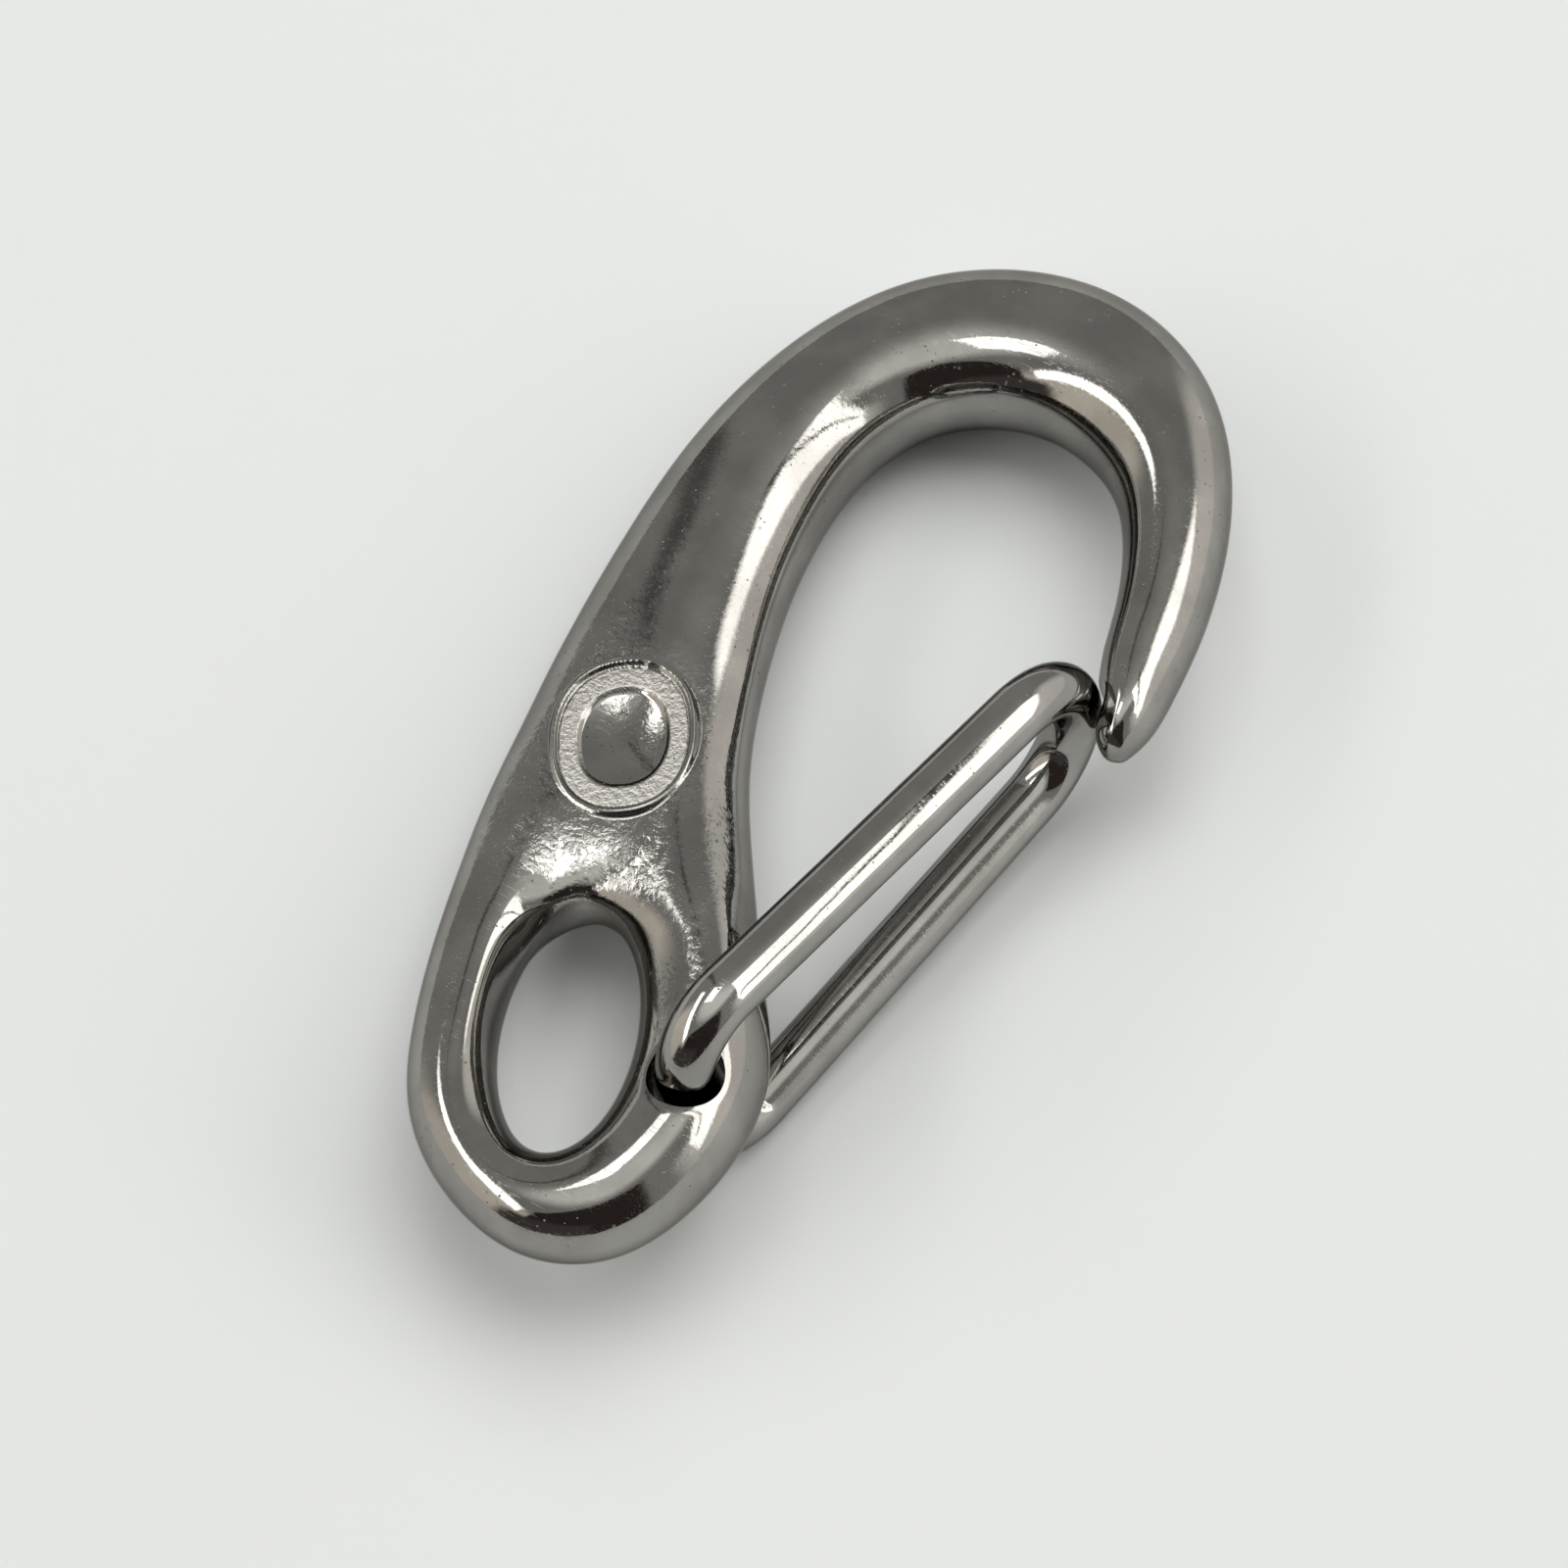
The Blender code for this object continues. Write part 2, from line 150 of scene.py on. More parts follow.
# Where finer faces are wanted: from outside the pad's outline to inside it, and round the dish's edge
FINE_OUT, FINE_IN, FINE_MARK = 0.5, 0.95, 0.09
# Pads are looked for over this height, and no further out than this, in mm
PAD_ABOVE, PAD_AWAY = 1.0, 2.5
# How the body rolls in at the bore's mouth, and blends round the gate's seat
MOUTH_DROP, MOUTH_REACH, SEAT_BLEND = 0.08, 0.35, 0.2
# Unevenness left by hand polishing: long and short waves (mm), and their heights on the two pieces
WAVE_LONG, WAVE_SHORT = 5.5, 1.6
BODY_WAVES = (0.012, 0.003)
GATE_WAVES = (0.010, 0.004)


# ---------------------------------------------------------------- where the hook lies

def rest_matrix(joint):
    """Design axes to the frame, from the gate's joint: its axis is the design z axis."""
    x, y, z = joint["axis"]
    roll, pitch = math.asin(-x), math.atan2(-y, z)
    turn = Matrix.Rotation(pitch, 4, "X") @ Matrix.Rotation(-roll, 4, "Y")
    shift = Vector(joint["pos_m"]) - turn @ (Vector((*PIVOT, 0.0)) * MM)
    return Matrix.Translation(shift) @ turn


# ---------------------------------------------------------------- body

def turned(x, y, degrees):
    a = math.radians(degrees)
    return x * math.cos(a) - y * math.sin(a), x * math.sin(a) + y * math.cos(a)


def bar_section(row):
    """Nine points across the upper half of one cross-section, outer edge to inner edge."""
    (ox, oy), (ix, iy), half, lean = row
    points = []
    for k in range(9):
        t = ROUND_ACROSS[k] * (1 - lean) + LEAN_ACROSS[k] * lean
        h = ROUND_HEIGHT[k] * (1 - lean) + LEAN_HEIGHT[k] * lean
        points.append((ox + (ix - ox) * t, oy + (iy - oy) * t, half * h))
    return points


def web_section(outer, inner, across, height):
    (ox, oy), (ix, iy) = outer, inner
    return [(ox + (ix - ox) * t, oy + (iy - oy) * t, h) for t, h in zip(across, height)]


def eye_point(t, grow=0.0):
    """A point of the eye's oval at parameter t in degrees, 90 at its top, grown outwards."""
    a = math.radians(t)
    x = (EYE_SHORT + grow) * math.cos(a)
    y = (EYE_LONG + grow) * math.sin(a)
    x, y = turned(x, y, EYE_LEAN)
    return EYE_CENTRE[0] + x, EYE_CENTRE[1] + y


def ring_rows(k):
    """Points of one station of the eye's ring: hole, inner shoulder, crest, then the outer ones."""
    t = 90 + 360 / RING * 2 + 360 / RING * k
    hole = eye_point(t)
    if k > len(RING_EDGE) - 1:
        shoulder = eye_point(t, EYE_TOP_SHOULDER)
        top = eye_point(t, EYE_TOP_REACH)
        return [
            (*hole, 0.0),
            (*shoulder, SHOULDER_HEIGHT * EYE_TOP_CREST),
            (*top, EYE_TOP_CREST),
        ]
    (ex, ey), where, crest = RING_EDGE[k]

    def along(f):
        return hole[0] + (ex - hole[0]) * f, hole[1] + (ey - hole[1]) * f

    return [
        (*hole, 0.0),
        (*along(where * SHOULDER_AT), SHOULDER_HEIGHT * crest),
        (*along(where), crest),
        (*along(where + (1 - where) * FLANK_AT), FLANK_HEIGHT * crest),
        (*along(1.0), 0.0),
    ]


class Cage:
    """Quads through which a Subdivision Surface is drawn, mirrored about the mid-plane."""

    def __init__(self):
        self.points = []
        self.faces = []
        self.at = {}

    def add(self, point):
        key = tuple(round(v, 5) for v in point)
        if key not in self.at:
            self.at[key] = len(self.points)
            self.points.append(point)
        return self.at[key]

    def single(self, a, b, c, d):
        self.faces.append([self.add(p) for p in (a, b, c, d)])

    def quad(self, a, b, c, d):
        """One quad above the mid-plane and its mirror image below."""
        self.single(a, b, c, d)
        self.single(*[(p[0], p[1], -p[2] if p[2] else 0.0) for p in (d, c, b, a)])


def through(points, faces):
    """Cage points moved so that the smooth surface passes through the ones given."""
    target = np.array(points)
    quads = np.array(faces)
    count = np.zeros(len(target))
    np.add.at(count, quads.ravel(), 1)
    cage = target.copy()
    for _ in range(FIT_ROUNDS):
        edge = np.zeros_like(cage)
        across = np.zeros_like(cage)
        for k in range(4):
            here = quads[:, k]
            np.add.at(edge, here, cage[quads[:, (k + 1) % 4]] + cage[quads[:, (k + 3) % 4]])
            np.add.at(across, here, cage[quads[:, (k + 2) % 4]])
        n = count[:, None]
        smooth = (n * n * cage + 2 * edge + across) / (n * (n + 5))
        cage += FIT_RATE * (target - smooth)
    return cage


def nose_cap(cage, section):
    """Closes the nose with a domed 4 x 4 patch of quads."""
    top = section
    low = [(x, y, -z if z else 0.0) for x, y, z in section]
    outer, inner = np.array(section[0]), np.array(section[8])
    middle = (outer + inner) / 2
    across = (inner - outer) / 2
    half = max(p[2] for p in section)
    ahead = np.array((across[1], -across[0], 0.0))
    ahead *= NOSE_DOME / np.linalg.norm(ahead)
    # Make the dome point away from the bar
    if np.dot(ahead[:2], np.array(BAR[1][0]) - np.array(BAR[0][0])) > 0:
        ahead = -ahead
    grid = [[None] * 5 for _ in range(5)]
    for k in range(5):
        grid[0][k] = top[2 + k]
        grid[4][k] = low[2 + k]
    left = [top[2], top[1], top[0], low[1], low[2]]
    right = [top[6], top[7], top[8], low[7], low[6]]
    for k in range(5):
        grid[k][0], grid[k][4] = left[k], right[k]
    for r in (1, 2, 3):
        for c in (1, 2, 3):
            p, q = (c - 2) * CAP_ACROSS, (2 - r) * CAP_UP
            rise = math.sqrt(max(0.0, 1 - (p / CAP_REACH) ** 2 - (q / CAP_REACH) ** 2))
            at = middle + across * p + np.array((0, 0, half * q)) + ahead * rise
            grid[r][c] = tuple(float(v) for v in at)
    for r in range(4):
        for c in range(4):
            cage.single(grid[r][c], grid[r + 1][c], grid[r + 1][c + 1], grid[r][c + 1])


def body_cage():
    """The body's cage: bar, web, ring round the eye and nose."""
    cage = Cage()
    sections = [bar_section(row) for row in BAR]
    sections.append(web_section(WEB_OUTER, WEB_INNER, WEB_ACROSS, WEB_HEIGHT))
    sections.append(web_section(VALLEY_OUTER, VALLEY_INNER, VALLEY_ACROSS, VALLEY_HEIGHT))
    rings = [ring_rows(k) for k in range(RING)]
    last = len(RING_EDGE) - 1
    left, right = rings[0], rings[last]
    tops = [rings[k][2] for k in range(RING - 1, last, -1)]
    sections.append([left[4], left[3], left[2], *tops, right[2], right[3], right[4]])
    for a, b in zip(sections, sections[1:]):
        for k in range(8):
            cage.quad(a[k], b[k], b[k + 1], a[k + 1])
    for k in range(RING):
        a, b = rings[k], rings[(k + 1) % RING]
        for r in range(4 if k < last else 2):
            cage.quad(a[r], b[r], b[r + 1], a[r + 1])
    nose_cap(cage, sections[0])
    points = through(cage.points, cage.faces)
    points[np.abs(points[:, 2]) < 1e-6, 2] = 0.0
    return points, cage.faces


def evaluated_mesh(obj):
    """The mesh of an object with its modifiers applied."""
    graph = bpy.context.evaluated_depsgraph_get()
    return bpy.data.meshes.new_from_object(obj.evaluated_get(graph))


def apply_modifiers(obj):
    made = evaluated_mesh(obj)
    obj.modifiers.clear()
    obj.data = made


def get_points(mesh, what="co"):
    values = np.empty(len(mesh.vertices) * 3, np.float32)
    mesh.vertices.foreach_get(what, values)
    return values.reshape(-1, 3).astype(float)


def set_points(mesh, points):
    mesh.vertices.foreach_set("co", points.astype(np.float32).ravel())
    mesh.update()


def face_outwards(mesh):
    work = bmesh.new()
    work.from_mesh(mesh)
    bmesh.ops.recalc_face_normals(work, faces=work.faces)
    if work.calc_volume(signed=True) < 0:
        bmesh.ops.reverse_faces(work, faces=work.faces)
    work.to_mesh(mesh)
    work.free()


def smoothstep(low, high, x):
    t = np.clip((x - low) / (high - low), 0.0, 1.0)
    return t * t * (3.0 - 2.0 * t)


def soft_max(a, b, blend):
    h = np.clip(0.5 + 0.5 * (a - b) / blend, 0.0, 1.0)
    return b + (a - b) * h + blend * h * (1.0 - h)


def pad_share(p):
    """Where each point is between the pad's middle (0) and its outline (1), in plan."""
    a = math.radians(PAD_LEAN)
    dx, dy = p[:, 0] - PAD_CENTRE[0], p[:, 1] - PAD_CENTRE[1]
    across = np.abs(dx * math.cos(a) + dy * math.sin(a)) / PAD_SHORT
    along = np.abs(-dx * math.sin(a) + dy * math.cos(a)) / PAD_LONG
    return (across ** PAD_SQUARE + along ** PAD_SQUARE) ** (1 / PAD_SQUARE)


def pad_distance(p):
    """How far inside the pad's outline each point is, in plan; negative outside it."""
    return (1.0 - pad_share(p)) * (PAD_LONG + PAD_SHORT) / 2


def refine_pads(mesh):
    """Finer faces along the pad's rim and the edge of its mark."""
    p = get_points(mesh)
    inside, share = pad_distance(p), pad_share(p)
    near = (inside > -FINE_OUT) & (inside < FINE_IN)
    near |= np.abs(share - MARK) < FINE_MARK
    near &= np.abs(p[:, 2]) > PAD_ABOVE
    work = bmesh.new()
    work.from_mesh(mesh)
    work.verts.ensure_lookup_table()
    edges = [e for e in work.edges if near[e.verts[0].index] and near[e.verts[1].index]]
    bmesh.ops.subdivide_edges(work, edges=edges, cuts=2, use_grid_fill=True)
    work.to_mesh(mesh)
    work.free()


def raise_pads(p):
    """A thin rim round a sunk field on each face, with a plain oval dish in the middle of the field."""
    inside, share = pad_distance(p), pad_share(p)
    dx, dy = p[:, 0] - PAD_CENTRE[0], p[:, 1] - PAD_CENTRE[1]
    plane = PAD_TOP + PAD_SLOPE_X * dx + PAD_SLOPE_Y * dy
    t = inside - RIM_IN
    rim = plane - RIM_DROP * (np.sqrt(t * t + RIM_ROUND) - t)
    dish = 1.0 - smoothstep(MARK - 0.05, MARK + 0.02, share)
    bowl = MARK_STEP + MARK_DEEP * (1.0 - (share / MARK) ** 2)
    field = plane - PAD_SUNK - dish * bowl
    sunk = smoothstep(PAD_RIM - 0.25, PAD_RIM + 0.05, inside)
    for side in (1.0, -1.0):
        height = side * p[:, 2]
        here = (height > PAD_ABOVE) & (inside > -PAD_AWAY)
        raised = soft_max(height, rim, RIM_BLEND)
        raised = raised * (1.0 - sunk) + field * sunk
        p[here, 2] = side * raised[here]


def matt(p):
    """Where the pads are left as cast: 1 on their fields, 0 on their rims, marks and beyond."""
    field = smoothstep(PAD_RIM - 0.05, PAD_RIM + 0.15, pad_distance(p))
    return field * smoothstep(MARK - 0.01, MARK + 0.04, pad_share(p))


def soften_bore(p):
    """The surface rolls in a little at the mouth of the pivot bore."""
    away = np.hypot(p[:, 0] - PIVOT[0], p[:, 1] - PIVOT[1])
    near = 1.0 - smoothstep(BORE_R - 0.05, BORE_R + MOUTH_REACH, away)
    p[:, 2] -= np.sign(p[:, 2]) * MOUTH_DROP * near


def along_gate(distance):
    """The point of the closed gate's line so far from its pivot."""
    a = math.radians(GATE_ANGLE)
    return PIVOT[0] + distance * math.sin(a), PIVOT[1] + distance * math.cos(a)


def press_seat(p):
    """The nose is hollowed where the closed gate's round end sits against it."""
    x, y = along_gate(GATE_REACH)
    dx, dy = p[:, 0] - x, p[:, 1] - y
    away = np.maximum(np.hypot(dx, dy), MM)
    push = soft_max(away, WIRE_R + RUN_GAP, SEAT_BLEND) / away
    p[:, 0], p[:, 1] = x + dx * push, y + dy * push


def ripple(p, normals, rough, fine):
    """Hand polishing leaves the surface slightly uneven."""
    wave = np.array([
        rough * noise.noise(Vector(q) / WAVE_LONG) + fine * noise.noise(Vector(q) / WAVE_SHORT)
        for q in p
    ])
    return p + normals * wave[:, None]


def store(mesh, name, values):
    attribute = mesh.attributes.new(name, "FLOAT", "POINT")
    attribute.data.foreach_set("value", values.astype(np.float32))


# Where the casting's skin still shows: how much is left everywhere, how much just outside the pads
# (distance from the outline, reach, weight), and lines in plan, each with its reach and weight
PITTED_LEAST = 0.06
PITTED_BY_PAD = (0.5, 0.7, 0.7)
PITTED = (
    (((-6.5, 8.6), (-1.0, 9.4)), 2.6, 1.0),
    (((-10.6, 7.0), (-10.2, 24.0)), 1.3, 0.8),
    (((-9.5, 24.0), (-8.0, 34.0)), 1.2, 0.2),
    (((2.2, 15.0), (7.5, 3.0)), 0.8, 1.0),
    (((4.9, 4.5), (7.0, 0.5)), 0.6, 0.8),
    (((-9.0, 21.5), (0.5, 12.5)), 4.5, 0.35),
)


def pitted(p):
    """How much of the casting's rough skin is left at each point, 0 to 1."""
    left = np.full(len(p), PITTED_LEAST)
    for ((ax, ay), (bx, by)), reach, weight in PITTED:
        dx, dy = bx - ax, by - ay
        t = np.clip(((p[:, 0] - ax) * dx + (p[:, 1] - ay) * dy) / (dx * dx + dy * dy), 0.0, 1.0)
        away = np.hypot(p[:, 0] - ax - t * dx, p[:, 1] - ay - t * dy)
        left = np.maximum(left, weight * np.exp(-(away / reach) ** 2))
    out, reach, weight = PITTED_BY_PAD
    away = np.abs(pad_distance(p) + out)
    return np.maximum(left, weight * np.exp(-(away / reach) ** 2))


def prism(name, radius, half, at, segments):
    """A cutter: a round bar along the design z axis."""
    mesh = bpy.data.meshes.new(name)
    ring = [(radius * math.cos(2 * math.pi * k / segments) + at[0],
             radius * math.sin(2 * math.pi * k / segments) + at[1]) for k in range(segments)]
    points = [(x, y, -half) for x, y in ring] + [(x, y, half) for x, y in ring]
    faces = [list(range(segments))[::-1], list(range(segments, 2 * segments))]
    for k in range(segments):
        n = (k + 1) % segments
        faces.append([k, n, segments + n, segments + k])
    mesh.from_pydata(points, [], faces)
    obj = bpy.data.objects.new(name, mesh)
    bpy.context.scene.collection.objects.link(obj)
    return obj


def cut(obj, cutter):
    boolean = obj.modifiers.new("cut_" + cutter.name, "BOOLEAN")
    boolean.operation = "DIFFERENCE"
    boolean.solver = "EXACT"
    boolean.object = cutter


def place(obj, rest):
    """Turns a mesh in design millimetres into one in metres at its place in the frame."""
    obj.data.transform(rest @ Matrix.Scale(MM, 4))


def make_body(rest):
    points, faces = body_cage()
    mesh = bpy.data.meshes.new("cast_body")
    mesh.from_pydata([tuple(q) for q in points], [], faces)
    face_outwards(mesh)
    body = bpy.data.objects.new("cast_body", mesh)
    bpy.context.scene.collection.objects.link(body)
    smooth = body.modifiers.new("smooth", "SUBSURF")
    smooth.levels = smooth.render_levels = SUBDIVISIONS
    apply_modifiers(body)
    refine_pads(body.data)
    p = get_points(body.data)
    p = ripple(p, get_points(body.data, "normal"), *BODY_WAVES)
    raise_pads(p)
    soften_bore(p)
    press_seat(p)
    set_points(body.data, p)
    store(body.data, "pitted", pitted(p))
    store(body.data, "matt", matt(p))
    cutter = prism("pivot_bore", BORE_R, CUT_HALF, PIVOT, CUT_SIDES)
    cut(body, cutter)
    apply_modifiers(body)
    bpy.data.objects.remove(cutter)
    body.data.shade_smooth()
    body.data.set_sharp_from_angle(angle=math.radians(SHARP_FROM))
    place(body, rest)
    return body


# ---------------------------------------------------------------- gate

def gate_path():
    """Centre line of the wire as (distance from the pivot, height), one end to the other."""
    taper = math.radians(LEG_TAPER)
    turn = math.pi / 2 + taper
    start_z = LEG_Z - BEND_R
    half = [(0.0, PIN_FROM), (0.0, 0.5 * (PIN_FROM + start_z)), (0.0, start_z)]
    for k in range(1, WIRE_STEPS + 1):
        a = turn * k / WIRE_STEPS
        half.append((BEND_R - BEND_R * math.cos(a), start_z + BEND_R * math.sin(a)))
    s0, z0 = half[-1]
    radius = (z0 - math.tan(taper) * (GATE_REACH - s0)) * math.cos(taper) / (1 - math.sin(taper))
    centre = GATE_REACH - radius
    s1, z1 = centre + radius * math.sin(taper), radius * math.cos(taper)
    for k in range(1, WIRE_STEPS):
        half.append((s0 + (s1 - s0) * k / WIRE_STEPS, z0 + (z1 - z0) * k / WIRE_STEPS))
    for k in range(WIRE_STEPS + 1):
        a = taper + (math.pi / 2 - taper) * k / WIRE_STEPS
        half.append((centre + radius * math.sin(a), radius * math.cos(a)))
    return half + [(s, -z) for s, z in reversed(half[:-1])]


def make_gate(rest):
    curve = bpy.data.curves.new("bent_wire_gate", "CURVE")
    curve.dimensions = "3D"
    curve.bevel_depth = WIRE_R
    curve.bevel_resolution = WIRE_SIDES
    curve.use_fill_caps = True
    path = gate_path()
    spline = curve.splines.new("POLY")
    spline.points.add(len(path) - 1)
    a = math.radians(GATE_ANGLE)
    for point, (s, z) in zip(spline.points, path):
        point.co = (PIVOT[0] + s * math.sin(a), PIVOT[1] + s * math.cos(a), z, 1.0)
    swept = bpy.data.objects.new("swept_wire", curve)
    bpy.context.scene.collection.objects.link(swept)
    mesh = evaluated_mesh(swept)
    bpy.data.objects.remove(swept)
    gate = bpy.data.objects.new("bent_wire_gate", mesh)
    bpy.context.scene.collection.objects.link(gate)
    set_points(mesh, ripple(get_points(mesh), get_points(mesh, "normal"), *GATE_WAVES))
    mesh.shade_smooth()
    place(gate, rest)
    return gate


# ---------------------------------------------------------------- materials

def node(tree, kind, inputs=None, **settings):
    made = tree.nodes.new(kind)
    for key, value in settings.items():
        setattr(made, key, value)
    for key, value in (inputs or {}).items():
        if isinstance(value, bpy.types.NodeSocket):
            tree.links.new(value, made.inputs[key])
        else:
            made.inputs[key].default_value = value
    return made


def ramp(tree, value, low, high, out_low=0.0, out_high=1.0):
    """A smooth step from out_low to out_high as value goes from low to high."""
    made = node(tree, "ShaderNodeMapRange", {
        "Value": value, "From Min": low, "From Max": high, "To Min": out_low, "To Max": out_high,
    }, interpolation_type="SMOOTHSTEP")
    return made.outputs["Result"]


def maths(tree, operation, a, b=0.0, c=0.0):
    return node(tree, "ShaderNodeMath", {0: a, 1: b, 2: c}, operation=operation).outputs[0]


def add(tree, *values):
    """The sum of two or more values."""
    total = values[0]
    for value in values[1:]:
        total = maths(tree, "ADD", total, value)
    return total


def times(tree, *values):
    """The product of two or more values."""
    product = values[0]
    for value in values[1:]:
        product = maths(tree, "MULTIPLY", product, value)
    return product


def mix_colour(tree, factor, a, b):
    made = node(tree, "ShaderNodeMix", {0: factor, 6: a, 7: b}, data_type="RGBA")
    return made.outputs[2]


def speckle(tree, where, scale, detail=3.0, roughness=0.55):
    made = node(tree, "ShaderNodeTexNoise", {
        "Vector": where, "Scale": scale, "Detail": detail, "Roughness": roughness,
    })
    return made.outputs["Fac"]


def scratches(tree, where, turn, length, pitch, level):
    """Hairline scratches running one way: a noise drawn out along them, of which only peaks show."""
    lying = node(tree, "ShaderNodeMapping", {
        "Vector": where, "Rotation": turn, "Scale": (1.0 / length, 1.0 / pitch, 1.0 / pitch),
    }).outputs["Vector"]
    return ramp(tree, speckle(tree, lying, 1.0, 1.0), level, level + SCRATCH_SOFT)


# The two steels: light and dark tone (linear), roughness, share of cells with a speck, and the grain's
# height in mm
CAST_STEEL = ((0.34, 0.331, 0.314), (0.28, 0.272, 0.258), 0.05, 0.045, 0.0012)
WIRE_STEEL = ((0.36, 0.351, 0.335), (0.30, 0.292, 0.278), 0.05, 0.05, 0.0009)
# Tones at grazing angles, of the pads' fields and of grime in the pits, and how far grime covers
EDGE_TINT = (0.52, 0.51, 0.50, 1.0)
AS_CAST_TONE = (0.58, 0.56, 0.53, 1.0)
GRIME_TONE, GRIME_COVER = (0.14, 0.11, 0.09, 1.0), 0.6
# Noises: scale (per mm), detail and roughness; then, for a patchy one, between which levels it shows
CLOUDS, CLOUDS_SHOW = (0.22, 4.0), (0.35, 0.65)
SKIN = (4.0, 3.0, 0.6)
SKIN_PATCHES, SKIN_PATCHES_SHOW = (1.7, 3.0), (0.38, 0.66)
SPECK_PATCHES, SPECK_PATCHES_SHOW = (0.9, 2.0), (0.36, 0.62)
GLOSS = (0.8, 5.0)
STIPPLE = (2.6, 3.0, 0.6)
# Specks: cells per mm, how much of the "pitted" weight counts, least radius, spread of radii and
# softness of the edge in cells, height of a raised speck and depth of a pit in mm, and the share of
# specks that are pits
SPECK_SCALE, SPECK_WEIGHT = 3.6, 0.75
SPECK_LEAST, SPECK_SPREAD, SPECK_EDGE = 0.16, 0.22, 0.12
SPECK_RISE, SPECK_SINK, PIT_SHARE = 0.08, 0.05, 0.55
# Heights in mm of the unpolished skin, of the pads' stipple and of the scratches
SKIN_RELIEF, STIPPLE_RELIEF, SCRATCH_DEPTH = 0.035, 0.16, 0.0012
# Two sets of scratches: how they are turned (radians), their length and spacing in mm, and the noise
# level over which they show, with how softly they do
SCRATCH_SOFT = 0.05
SCRATCHES = (
    ((0.3, 0.1, 1.9), 9.0, 0.10, 0.66),
    ((0.0, 0.4, 0.7), 6.0, 0.08, 0.68),
)
# What is added to the roughness by clouds, scratches, unpolished skin, pad fields and grime
CLOUD_ROUGH, SCRATCH_ROUGH, SKIN_ROUGH, CAST_ROUGH, GRIME_ROUGH = 0.10, 0.10, 0.22, 0.30, 0.35


def specks(tree, where, weight, share):
    """Casting specks left by the polishing, some cells of a fine pattern: their mask, and which rise."""
    cells = node(tree, "ShaderNodeTexVoronoi", {
        "Vector": where, "Scale": SPECK_SCALE, "Randomness": 1.0,
    })
    chance = node(tree, "ShaderNodeSeparateColor", {"Color": cells.outputs["Color"]}).outputs
    patchy = ramp(tree, speckle(tree, where, *SPECK_PATCHES), *SPECK_PATCHES_SHOW)
    share = times(tree, add(tree, times(tree, weight, SPECK_WEIGHT), share), patchy)
    chosen = maths(tree, "LESS_THAN", chance["Red"], share)
    size = add(tree, times(tree, chance["Green"], SPECK_SPREAD), SPECK_LEAST)
    inside = maths(tree, "SUBTRACT", size, cells.outputs["Distance"])
    mask = times(tree, chosen, ramp(tree, inside, 0.0, SPECK_EDGE))
    return mask, maths(tree, "GREATER_THAN", chance["Blue"], PIT_SHARE)


def steel(name, light, dark, roughness, speck_share, grain):
    """Polished stainless steel: cloudy tone, hairline scratches, casting specks, pits with grime."""
    material = bpy.data.materials.new(name)
    material.use_nodes = True
    tree = material.node_tree
    shader = tree.nodes["Principled BSDF"]
    shader.inputs["Metallic"].default_value = 1.0
    shader.inputs["Specular Tint"].default_value = EDGE_TINT
    spot = node(tree, "ShaderNodeTexCoord").outputs["Object"]
    where = node(tree, "ShaderNodeVectorMath", {
        0: spot, "Scale": 1.0 / MM,
    }, operation="SCALE").outputs[0]
    weight = node(tree, "ShaderNodeAttribute", attribute_name="pitted").outputs["Fac"]
    as_cast = node(tree, "ShaderNodeAttribute", attribute_name="matt").outputs["Fac"]

    speck, raised = specks(tree, where, weight, speck_share)
    grime = times(tree, speck, maths(tree, "SUBTRACT", 1.0, raised))
    # Fine grain of the casting, which the polishing has not reached where the weight is high
    skin = speckle(tree, where, *SKIN)
    patchy = ramp(tree, speckle(tree, where, *SKIN_PATCHES), *SKIN_PATCHES_SHOW)
    unpolished = times(tree, weight, patchy)
    lines = maths(tree, "MAXIMUM", *(scratches(tree, where, *kind) for kind in SCRATCHES))

    cloud = ramp(tree, speckle(tree, where, *CLOUDS), *CLOUDS_SHOW)
    tone = mix_colour(tree, cloud, (*dark, 1.0), (*light, 1.0))
    tone = mix_colour(tree, as_cast, tone, AS_CAST_TONE)
    tone = mix_colour(tree, times(tree, grime, GRIME_COVER), tone, GRIME_TONE)
    tree.links.new(tone, shader.inputs["Base Color"])

    gloss = add(
        tree,
        times(tree, speckle(tree, where, *GLOSS), CLOUD_ROUGH),
        roughness - CLOUD_ROUGH / 2,
        times(tree, lines, SCRATCH_ROUGH),
        times(tree, unpolished, SKIN_ROUGH),
        times(tree, as_cast, CAST_ROUGH),
        times(tree, grime, GRIME_ROUGH),
    )
    tree.links.new(gloss, shader.inputs["Roughness"])

    relief = maths(tree, "SUBTRACT", times(tree, raised, SPECK_RISE + SPECK_SINK), SPECK_SINK)
    height = add(
        tree,
        times(tree, speck, relief),
        times(tree, lines, -SCRATCH_DEPTH),
        times(tree, skin, add(tree, times(tree, unpolished, SKIN_RELIEF), grain)),
        times(tree, speckle(tree, where, *STIPPLE), as_cast, STIPPLE_RELIEF),
    )
    bump = node(tree, "ShaderNodeBump", {"Height": height, "Distance": MM, "Strength": 1.0})
    tree.links.new(bump.outputs["Normal"], shader.inputs["Normal"])
    return material


# ---------------------------------------------------------------- stage

# Floor: half its width (m), tone (linear) and roughness
FLOOR_HALF = 3.0
FLOOR_TONE, FLOOR_ROUGH = (0.79, 0.81, 0.808, 1.0), 0.6

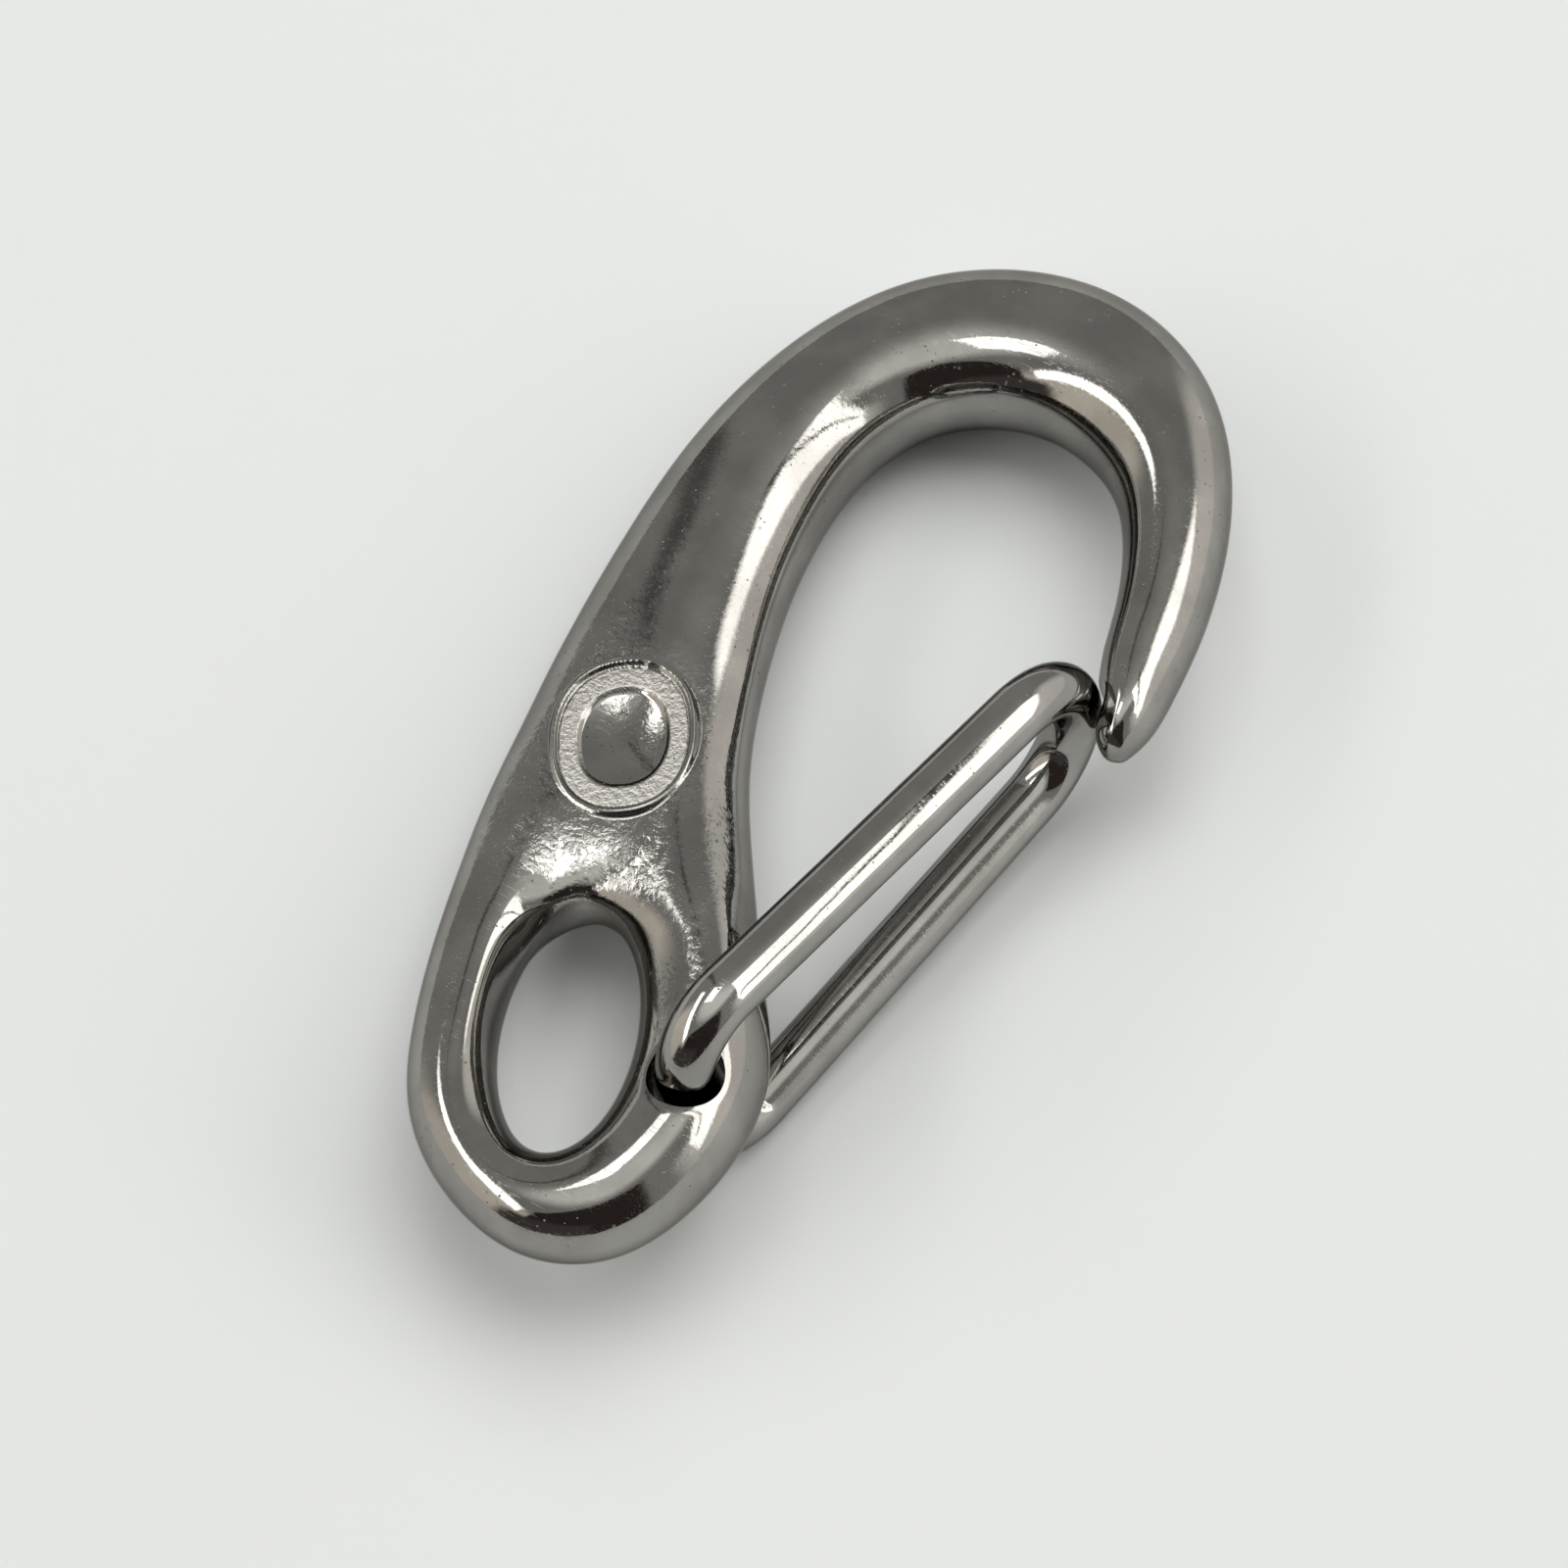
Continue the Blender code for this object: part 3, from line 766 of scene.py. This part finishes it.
# Camera: where it stands (m), which way it lies from what it looks at and its roll (degrees), its
# sensor and lens (mm), and the distances between which it sees (m)
CAMERA_AT = (0.053616, -0.082336, 0.218352)
CAMERA_AZIMUTH, CAMERA_ELEVATION, CAMERA_ROLL = 34.332, 65.669, -5.053
SENSOR, LENS = 36.0, 86.66
SEES_FROM, SEES_TO = 0.01, 20.0

# The room that the steel reflects, each rectangle laid over those before it: the azimuth that its
# wall faces (degrees from +Y to +X), left, right, bottom and top edge and softness of the edges,
# all as multiples of the wall's distance, then colour and brightness
ROOM = (
    ("left_wall", 232, -1.1, 0.6, -0.9, 0.78, 0.2, (1.0, 0.93, 0.83), 1.05),
    ("left_window", 250, -1.15, 0.52, 0.72, 1.08, 0.05, (1.0, 0.99, 0.96), 4.3),
    ("right_wall", 45, -0.75, 1.1, -0.2, 0.85, 0.28, (1.0, 0.97, 0.92), 1.15),
    ("right_window", 8, 0.32, 4.6, 0.82, 2.75, 0.09, (1.0, 0.985, 0.95), 3.5),
    ("right_window_bar", 8, 0.1, 3.6, 1.86, 2.0, 0.03, (1.0, 0.95, 0.9), 0.12),
    ("dark_post", 296, -0.04, 0.04, -0.6, 1.2, 0.03, (1.0, 0.95, 0.92), 0.16),
    ("viewer", 140, -0.58, 1.3, -3.0, 1.25, 0.07, (1.0, 0.78, 0.74), 0.05),
    ("dark_corner", 185, -0.8, 0.42, -3.0, 0.42, 0.10, (1.0, 0.88, 0.85), 0.10),
)
# A wall is in view of a direction which faces it by at least this much
FACING = 0.001
# Brightness of the bare walls and of the ceiling, and the share of it that each keeps in blue
WALLS, WALLS_BLUE = 0.39, 0.96
CEILING, CEILING_BLUE = 1.2, 0.95
# The ceiling begins at this elevation, softened by so much, and is lit from this azimuth (degrees)
CEILING_ABOVE, CEILING_SOFT, CEILING_AZIMUTH = 58.0, 8.0, 150.0
# Its least share of light, and where that starts and stops rising to full: the part of a direction
# that points to the lit side
CEILING_DIM, CEILING_FROM, CEILING_FULL = 0.12, -0.5, 0.1
# What the camera sees behind the floor, and how much of the room's light reaches the floor
BACKDROP = (0.80, 0.805, 0.79, 1.0)
ROOM_FILL = 0.4

# Lights: size (m), power (W), where they are and what they aim at (m)
SOFT_BOX = (0.95, 7.2, (-0.1, 0.42, 1.0), (0.0, 0.0, 0.0))
LAMP = (0.055, 0.026, (-0.040, -0.0145, 0.158), (-0.009, -0.012, 0.011))


def make_floor():
    half = FLOOR_HALF
    corners = [(-half, -half, 0), (half, -half, 0), (half, half, 0), (-half, half, 0)]
    mesh = bpy.data.meshes.new("floor")
    mesh.from_pydata(corners, [], [(0, 1, 2, 3)])
    floor = bpy.data.objects.new("floor", mesh)
    bpy.context.scene.collection.objects.link(floor)
    material = bpy.data.materials.new("pale_card")
    material.use_nodes = True
    shader = material.node_tree.nodes["Principled BSDF"]
    shader.inputs["Base Color"].default_value = FLOOR_TONE
    shader.inputs["Roughness"].default_value = FLOOR_ROUGH
    mesh.materials.append(material)


def make_camera():
    data = bpy.data.cameras.new("camera")
    data.sensor_width = SENSOR
    data.lens = LENS
    data.clip_start, data.clip_end = SEES_FROM, SEES_TO
    camera = bpy.data.objects.new("camera", data)
    azimuth, elevation = math.radians(CAMERA_AZIMUTH), math.radians(CAMERA_ELEVATION)
    back = Vector((
        math.sin(azimuth) * math.cos(elevation),
        -math.cos(azimuth) * math.cos(elevation),
        math.sin(elevation),
    ))
    camera.location = CAMERA_AT
    roll = Matrix.Rotation(math.radians(CAMERA_ROLL), 3, "Z").to_quaternion()
    camera.rotation_euler = ((-back).to_track_quat("-Z", "Y") @ roll).to_euler()
    bpy.context.scene.collection.objects.link(camera)
    bpy.context.scene.camera = camera


def between(tree, value, low, high, soft):
    """Mask that is 1 where low < value < high, with soft edges."""
    return times(tree, ramp(tree, value, low - soft, low + soft),
                 ramp(tree, value, high + soft, high - soft))


def wall_pane(tree, way, azimuth, left, right, bottom, top, soft):
    """Mask of an upright rectangle on a wall square to the azimuth, in wall distances."""
    facing = node(tree, "ShaderNodeVectorRotate", {
        "Vector": way, "Axis": (0.0, 0.0, 1.0), "Angle": math.radians(azimuth),
    }).outputs["Vector"]
    part = node(tree, "ShaderNodeSeparateXYZ", {"Vector": facing})
    ahead = maths(tree, "MAXIMUM", part.outputs["Y"], FACING)
    aside = maths(tree, "DIVIDE", part.outputs["X"], ahead)
    up = maths(tree, "DIVIDE", part.outputs["Z"], ahead)
    return times(
        tree,
        between(tree, aside, left, right, soft),
        between(tree, up, bottom, top, soft),
        maths(tree, "GREATER_THAN", part.outputs["Y"], FACING),
    )


def make_world():
    """A pale room with a window on each side and darkness where the viewer stands."""
    world = bpy.data.worlds.new("studio")
    world.use_nodes = True
    tree = world.node_tree
    way = node(tree, "ShaderNodeTexCoord").outputs["Generated"]
    part = node(tree, "ShaderNodeSeparateXYZ", {"Vector": way})
    up = maths(tree, "ARCSINE", part.outputs["Z"])
    # The ceiling is lit from the viewer's side
    a = math.radians(CEILING_AZIMUTH)
    towards = add(tree, times(tree, part.outputs["X"], math.sin(a)),
                  times(tree, part.outputs["Y"], math.cos(a)))
    low, high = (math.radians(CEILING_ABOVE + k * CEILING_SOFT) for k in (-1, 1))
    lit = times(tree, ramp(tree, up, low, high),
                ramp(tree, towards, CEILING_FROM, CEILING_FULL, CEILING_DIM, 1.0))
    walls = (WALLS, WALLS, WALLS * WALLS_BLUE, 1.0)
    ceiling = (CEILING, CEILING, CEILING * CEILING_BLUE, 1.0)
    colour = mix_colour(tree, lit, walls, ceiling)
    for _, azimuth, left, right, bottom, top, soft, tint, strength in ROOM:
        mask = wall_pane(tree, way, azimuth, left, right, bottom, top, soft)
        colour = mix_colour(tree, mask, colour, (*(c * strength for c in tint), 1.0))
    path = node(tree, "ShaderNodeLightPath")
    colour = mix_colour(tree, path.outputs["Is Camera Ray"], colour, BACKDROP)
    # What reaches the floor is dimmed: most of its light comes from the soft box
    strength = maths(tree, "MULTIPLY_ADD", path.outputs["Is Diffuse Ray"], ROOM_FILL - 1.0, 1.0)
    tree.links.new(colour, tree.nodes["Background"].inputs["Color"])
    tree.links.new(strength, tree.nodes["Background"].inputs["Strength"])
    bpy.context.scene.world = world
    bpy.context.scene.view_settings.view_transform = "Standard"


def area_light(name, size, power, location, target):
    data = bpy.data.lights.new(name, "AREA")
    data.shape = "SQUARE"
    data.size = size
    data.energy = power
    light = bpy.data.objects.new(name, data)
    light.location = location
    aim = Vector(target) - light.location
    light.rotation_euler = aim.to_track_quat("-Z", "Y").to_euler()
    bpy.context.scene.collection.objects.link(light)
    return light


def make_lights():
    """The soft box lights the floor and casts the soft shadow; the lamp only glints in the steel."""
    box = area_light("soft_box", *SOFT_BOX)
    box.visible_glossy = False
    lamp = area_light("lamp", *LAMP)
    lamp.visible_diffuse = False
    lamp.visible_camera = False


def main():
    rest = rest_matrix(frame["joints"][0])
    body = make_body(rest)
    body.data.materials.clear()
    body.data.materials.append(steel("cast_steel", *CAST_STEEL))
    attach(body, "body")
    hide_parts("hook_body")
    gate = make_gate(rest)
    gate.data.materials.clear()
    gate.data.materials.append(steel("gate_wire", *WIRE_STEEL))
    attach(gate, "gate")
    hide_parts("wire_gate")
    make_floor()
    make_world()
    make_lights()
    make_camera()


main()
